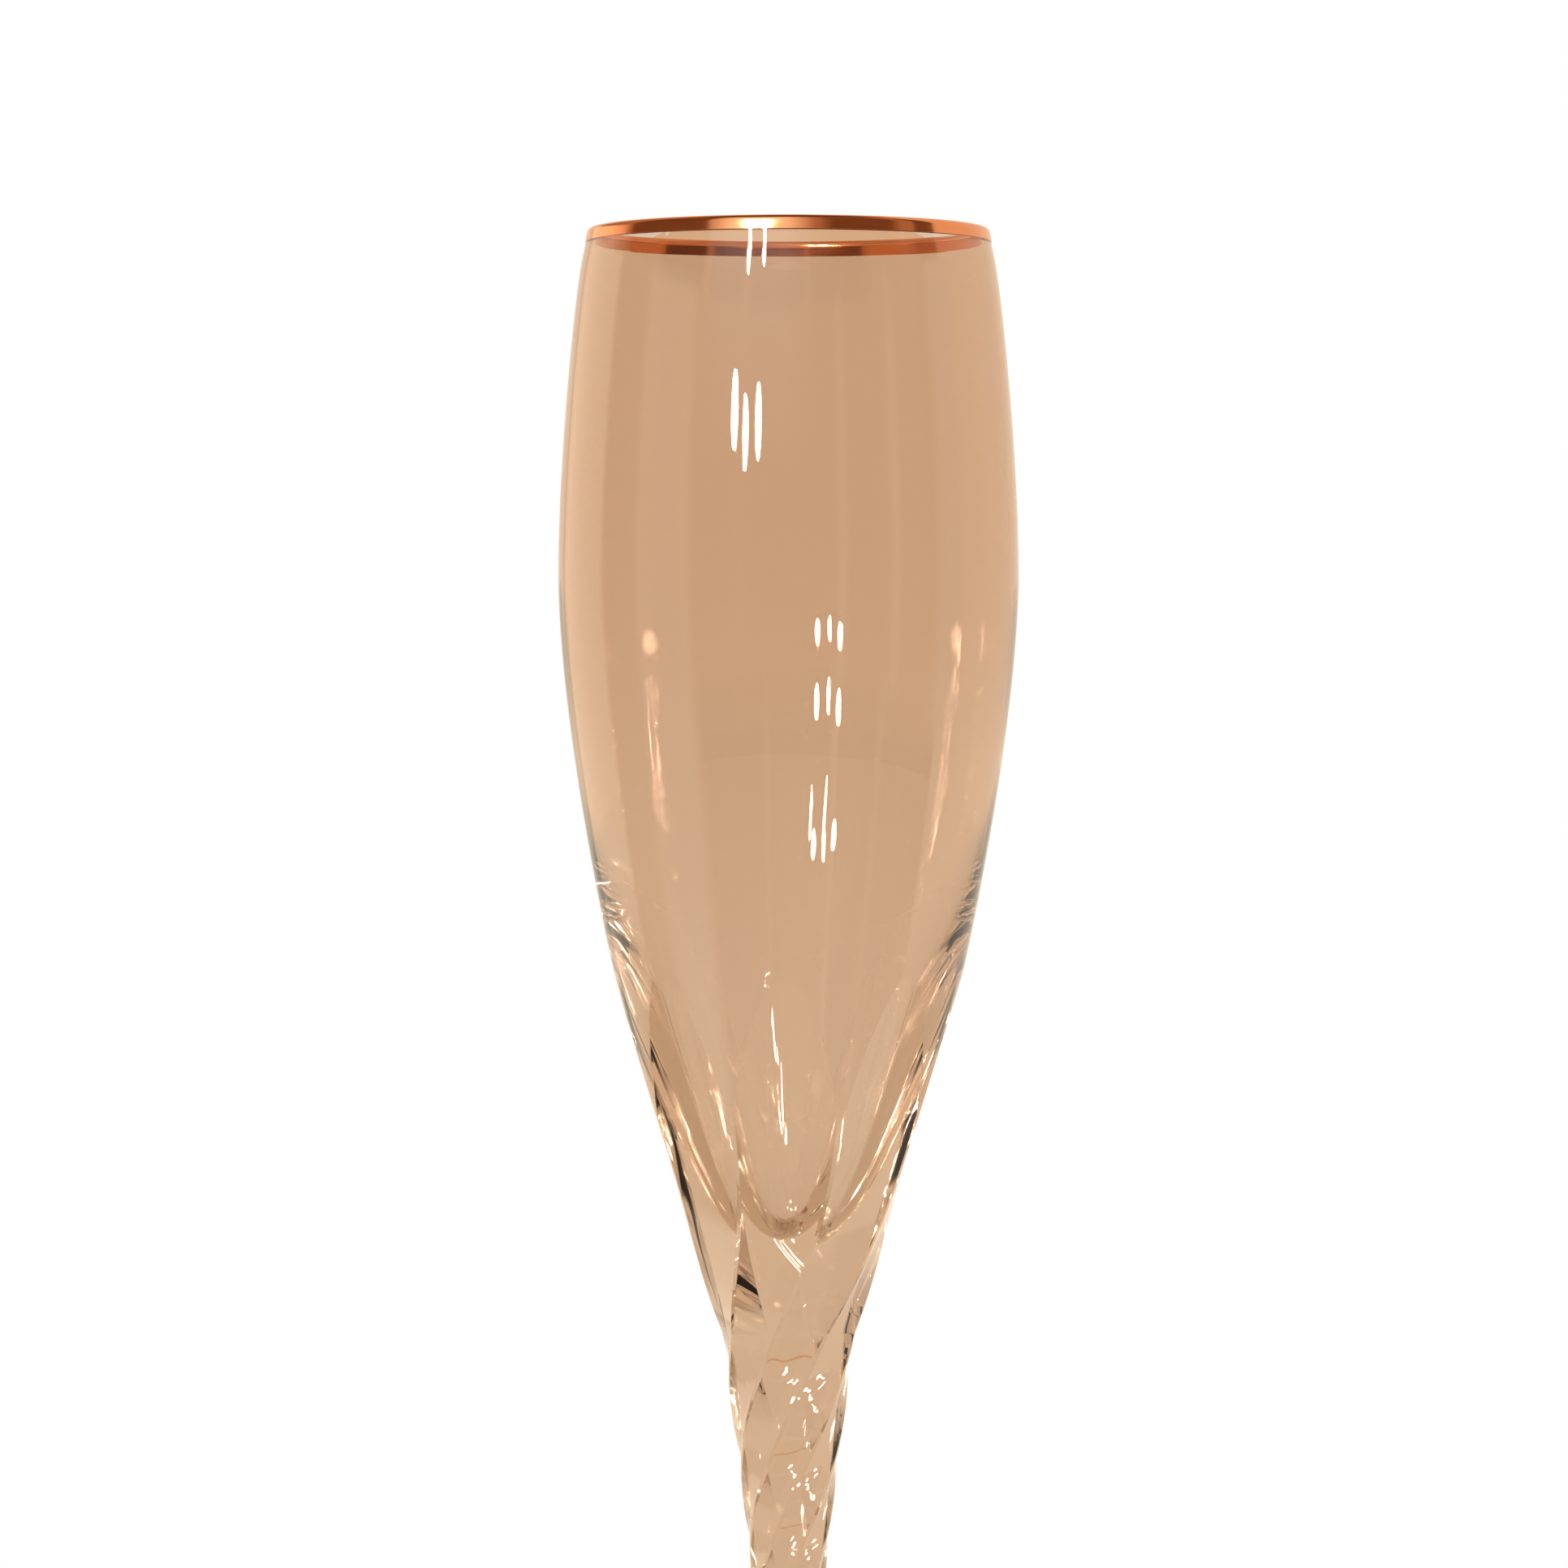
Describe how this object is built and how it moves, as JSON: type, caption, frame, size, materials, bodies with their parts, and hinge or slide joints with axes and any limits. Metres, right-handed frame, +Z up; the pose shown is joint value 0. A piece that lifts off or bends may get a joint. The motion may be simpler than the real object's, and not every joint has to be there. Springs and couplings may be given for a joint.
{
  "type": "champagne flute",
  "caption": "Tall stemmed drinking glass with a slender tapered bowl, a faceted base, a solid twisted stem, a round foot and a copper-gilt band on the lip.",
  "frame": {"origin": "centre of the ring that the foot stands on, at the height of the table", "axes": "+Z up along the glass's own axis; one flat of the cut bowl base faces -Y, above the height where the twist begins"},
  "size_m": [0.068, 0.068, 0.24],
  "materials": {
    "bowl_glass": "polished clear glass with a pale champagne lustre",
    "stem_glass": "polished clear glass with a pale champagne lustre",
    "foot_glass": "polished clear glass with a pale champagne lustre",
    "gilt_band": "bright fired copper-gold gilding"
  },
  "bodies": {
    "root": {"bowl": "bowl_glass", "stem": "stem_glass", "foot": "foot_glass", "rim_band": "gilt_band"}
  },
  "joints": []
}
